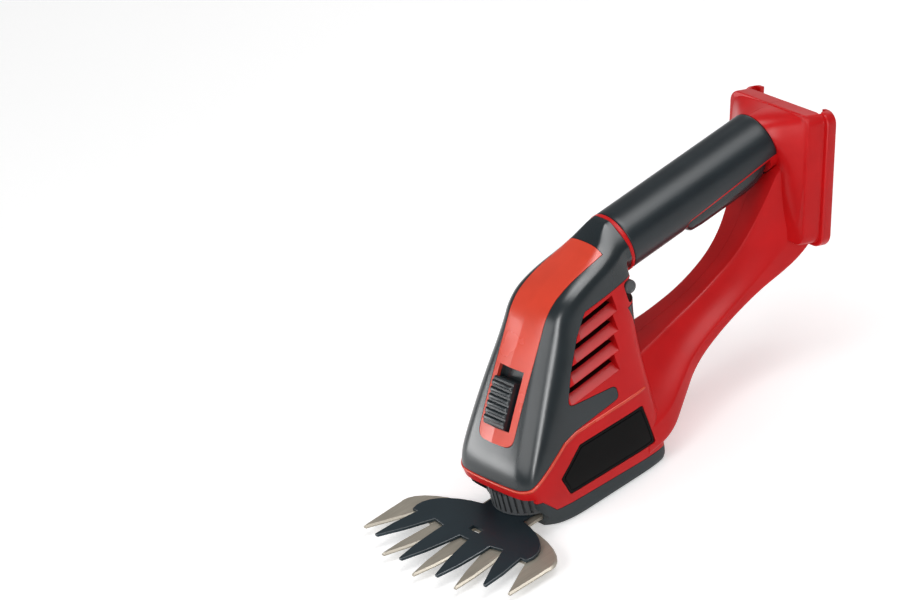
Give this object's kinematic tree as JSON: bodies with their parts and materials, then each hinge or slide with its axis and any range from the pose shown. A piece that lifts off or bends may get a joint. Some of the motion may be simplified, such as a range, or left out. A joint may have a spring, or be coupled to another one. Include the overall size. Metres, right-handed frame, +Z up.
{
  "type": "cordless grass shears",
  "caption": "Hand-held battery grass shears: D-handle body, comb-toothed fixed blade with a swinging top blade driven by a motor, gear and crank, and a slide-on battery plate.",
  "frame": {"origin": "on the ground plane under the sole, midway between the foremost blade tip and the rear of the battery plate, on the mid plane", "axes": "+Z up from the sole, +Y rearward from the blades to the battery plate, +X to the user's left"},
  "size_m": [0.1278, 0.3094, 0.1389],
  "materials": {
    "red_plastic": "satin moulded plastic, bright red",
    "dark_plastic": "fine-grained moulded plastic, dark grey",
    "soft_grip": "smooth soft-touch elastomer, dark grey",
    "black_plate": "bare semi-gloss black plate",
    "bare_steel": "ground spring steel with a warm tone",
    "coated_steel": "dark low-friction coating on steel",
    "zinc_steel": "plain zinc-plated steel",
    "bearing_bronze": "plain copper alloy",
    "gear_plastic": "natural acetal",
    "black_plastic": "plain black plastic",
    "board_green": "solder-masked board"
  },
  "bodies": {
    "body": {"housing_left": "red_plastic", "housing_right": "red_plastic", "cover_strip": "red_plastic", "grip_ring": "red_plastic", "front_cover": "dark_plastic", "sole_plate": "dark_plastic", "blade_holder": "dark_plastic", "rear_pad": "dark_plastic", "grip_sleeve": "soft_grip", "label_plate": "black_plate", "fixed_blade": "bare_steel", "trigger_pin": "zinc_steel", "trigger_spring": "zinc_steel", "blade_pivot": "zinc_steel", "pivot_washer": "zinc_steel", "motor_plate": "zinc_steel", "motor_can": "zinc_steel", "motor_screws": "zinc_steel", "housing_screws": "zinc_steel", "sole_screws": "zinc_steel", "crank_bearing": "bearing_bronze", "contact_blades": "bearing_bronze", "switch_block": "black_plastic", "terminal_block": "black_plastic", "motor_cap": "black_plastic", "gear_case": "black_plastic", "control_board": "board_green"},
    "trigger_lever": {"trigger": "dark_plastic"},
    "lock_off": {"lock_button": "dark_plastic"},
    "blade_release": {"release_slider": "dark_plastic"},
    "top_blade": {"moving_blade": "coated_steel"},
    "crank": {"crank_shaft": "zinc_steel", "drive_gear": "gear_plastic"},
    "rotor": {"motor_shaft": "zinc_steel", "motor_pinion": "bearing_bronze"}
  },
  "joints": [
    {"name": "trigger_squeeze", "type": "hinge", "parent": "body", "child": "trigger_lever", "pos_m": [0, 0.12729, 0.11058], "axis": [-1, 0, 0], "range_deg": [0, 4.5], "stiffness_Nm_per_rad": 4, "springref_deg": -2.86, "deforming": ["trigger_spring"]},
    {"name": "lock_press", "type": "slide", "parent": "body", "child": "lock_off", "axis": [-1, 0, 0], "range_m": [0, 0.003], "stiffness_N_per_m": 400, "springref_m": -0.002},
    {"name": "release_slide", "type": "slide", "parent": "body", "child": "blade_release", "axis": [0, 0.5622, 0.827], "range_m": [0, 0.006], "stiffness_N_per_m": 400, "springref_m": -0.002},
    {"name": "blade_swing", "type": "hinge", "parent": "body", "child": "top_blade", "pos_m": [0, -0.06672, 0.0068], "axis": [0, 0, 1], "range_deg": [-9, 9]},
    {"name": "crank_turn", "type": "hinge", "parent": "body", "child": "crank", "pos_m": [0, -0.04247, 0.027], "axis": [0, 0, 1], "continuous": true},
    {"name": "rotor_turn", "type": "hinge", "parent": "body", "child": "rotor", "pos_m": [0, -0.02072, 0.05], "axis": [0, 0, 1], "continuous": true}
  ],
  "couplings": [
    {"joint": "rotor_turn", "follows": "crank_turn", "ratio": -3.1429}
  ]
}
